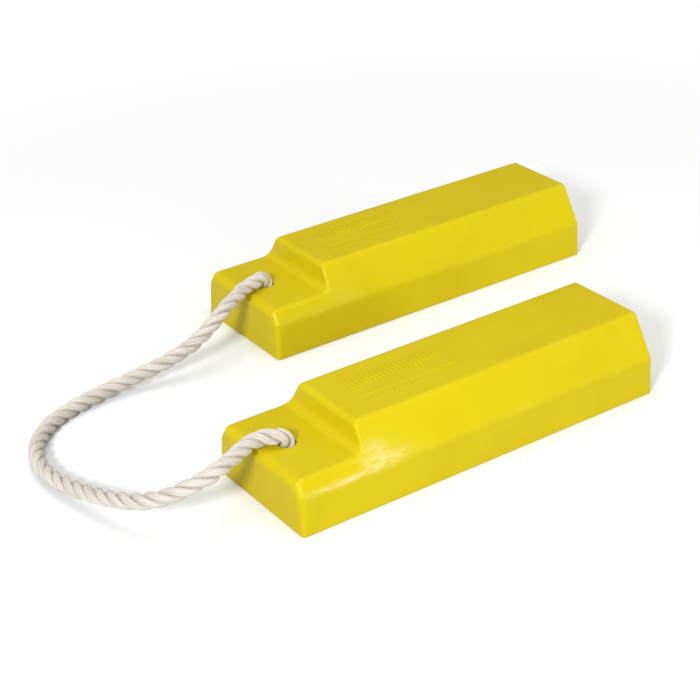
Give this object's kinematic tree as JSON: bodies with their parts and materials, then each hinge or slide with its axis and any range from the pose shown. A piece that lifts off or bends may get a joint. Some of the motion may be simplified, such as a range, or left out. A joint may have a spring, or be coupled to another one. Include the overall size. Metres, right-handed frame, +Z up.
{
  "type": "wheel chock pair",
  "caption": "Pair of long moulded wheel chocks with sloped flanks and a low nose, joined nose to nose by a knotted length of laid rope.",
  "frame": {"origin": "centre of the near chock's underside, on the ground", "axes": "+Z up, +X along both chocks from the low nose with the rope hole to the far end, +Y from the near chock towards the far chock"},
  "size_m": [0.8829, 0.527, 0.098],
  "materials": {
    "urethane": "glossy cast polyurethane, safety yellow",
    "rope": "white three-strand laid nylon rope"
  },
  "bodies": {
    "near_chock": {"near_chock_block": "urethane"},
    "rope_near_end": {"near_stopper_knot": "rope", "rope_near_end_strand_a": "rope", "rope_near_end_strand_b": "rope", "rope_near_end_strand_c": "rope"},
    "rope_link_1": {"rope_link_1_strand_a": "rope", "rope_link_1_strand_b": "rope", "rope_link_1_strand_c": "rope"},
    "rope_link_2": {"rope_link_2_strand_a": "rope", "rope_link_2_strand_b": "rope", "rope_link_2_strand_c": "rope"},
    "rope_link_3": {"rope_link_3_strand_a": "rope", "rope_link_3_strand_b": "rope", "rope_link_3_strand_c": "rope"},
    "rope_link_4": {"rope_link_4_strand_a": "rope", "rope_link_4_strand_b": "rope", "rope_link_4_strand_c": "rope"},
    "rope_link_5": {"rope_link_5_strand_a": "rope", "rope_link_5_strand_b": "rope", "rope_link_5_strand_c": "rope"},
    "rope_link_6": {"rope_link_6_strand_a": "rope", "rope_link_6_strand_b": "rope", "rope_link_6_strand_c": "rope"},
    "rope_link_7": {"rope_link_7_strand_a": "rope", "rope_link_7_strand_b": "rope", "rope_link_7_strand_c": "rope"},
    "rope_link_8": {"rope_link_8_strand_a": "rope", "rope_link_8_strand_b": "rope", "rope_link_8_strand_c": "rope"},
    "rope_link_9": {"rope_link_9_strand_a": "rope", "rope_link_9_strand_b": "rope", "rope_link_9_strand_c": "rope"},
    "rope_link_10": {"rope_link_10_strand_a": "rope", "rope_link_10_strand_b": "rope", "rope_link_10_strand_c": "rope"},
    "rope_link_11": {"rope_link_11_strand_a": "rope", "rope_link_11_strand_b": "rope", "rope_link_11_strand_c": "rope"},
    "rope_far_end": {"rope_far_end_strand_a": "rope", "rope_far_end_strand_b": "rope", "rope_far_end_strand_c": "rope", "far_stopper_knot": "rope"},
    "far_chock": {"far_chock_block": "urethane"}
  },
  "joints": [
    {"name": "near_swivel", "type": "hinge", "parent": "near_chock", "child": "rope_near_end", "pos_m": [-0.215, 0, 0.054], "axis": [0, 0, 1], "range_deg": [-8, 85]},
    {"name": "loop_lift", "type": "hinge", "parent": "rope_near_end", "child": "rope_link_1", "pos_m": [-0.266, 0.0035, 0.0775], "axis": [-0.0818, -0.9795, 0.184], "range_deg": [-40, 0], "stiffness_Nm_per_rad": 0.5},
    {"name": "rope_bend_1", "type": "hinge", "parent": "rope_link_1", "child": "rope_link_2", "pos_m": [-0.319, -0.017, 0.0745], "axis": [0, 0, 1], "range_deg": [0, 20], "stiffness_Nm_per_rad": 0.5},
    {"name": "rope_bend_2", "type": "hinge", "parent": "rope_link_2", "child": "rope_link_3", "pos_m": [-0.372, 0.006, 0.052], "axis": [0, 0, 1], "range_deg": [0, 20], "stiffness_Nm_per_rad": 0.5},
    {"name": "rope_bend_3", "type": "hinge", "parent": "rope_link_3", "child": "rope_link_4", "pos_m": [-0.402, 0.066, 0.032], "axis": [0, 0, 1], "range_deg": [0, 20], "stiffness_Nm_per_rad": 0.5},
    {"name": "rope_bend_4", "type": "hinge", "parent": "rope_link_4", "child": "rope_link_5", "pos_m": [-0.418, 0.133, 0.019], "axis": [0, 0, 1], "range_deg": [0, 20], "stiffness_Nm_per_rad": 0.5},
    {"name": "rope_bend_5", "type": "hinge", "parent": "rope_link_5", "child": "rope_link_6", "pos_m": [-0.423, 0.196, 0.013], "axis": [0, 0, 1], "range_deg": [0, 20], "stiffness_Nm_per_rad": 0.5},
    {"name": "rope_bend_6", "type": "hinge", "parent": "rope_link_6", "child": "rope_link_7", "pos_m": [-0.402, 0.257, 0.011], "axis": [0, 0, 1], "range_deg": [0, 20], "stiffness_Nm_per_rad": 0.5},
    {"name": "rope_bend_7", "type": "hinge", "parent": "rope_link_7", "child": "rope_link_8", "pos_m": [-0.354, 0.299, 0.01], "axis": [0, 0, 1], "range_deg": [0, 20], "stiffness_Nm_per_rad": 0.5},
    {"name": "rope_bend_8", "type": "hinge", "parent": "rope_link_8", "child": "rope_link_9", "pos_m": [-0.298, 0.314, 0.012], "axis": [0, 0, 1], "range_deg": [0, 20], "stiffness_Nm_per_rad": 0.5},
    {"name": "loop_lift_return", "type": "hinge", "parent": "rope_link_9", "child": "rope_link_10", "pos_m": [-0.24, 0.315, 0.019], "axis": [-0.0818, -0.9795, 0.184], "range_deg": [0, 40], "stiffness_Nm_per_rad": 0.5},
    {"name": "far_turn", "type": "hinge", "parent": "rope_link_10", "child": "rope_link_11", "pos_m": [-0.152, 0.3015, 0.05], "axis": [0, 0, 1], "range_deg": [-8, 15], "stiffness_Nm_per_rad": 0.5},
    {"name": "far_chock_lift", "type": "hinge", "parent": "rope_link_11", "child": "rope_far_end", "pos_m": [-0.099, 0.3145, 0.0755], "axis": [-0.3746, 0.9272, 0], "range_deg": [-30, 0], "stiffness_Nm_per_rad": 2},
    {"name": "far_swivel", "type": "hinge", "parent": "rope_far_end", "child": "far_chock", "pos_m": [-0.019, 0.354, 0.054], "axis": [0, 0, 1], "range_deg": [-8, 100]}
  ],
  "couplings": [
    {"joint": "loop_lift_return", "follows": "loop_lift", "ratio": -1}
  ]
}
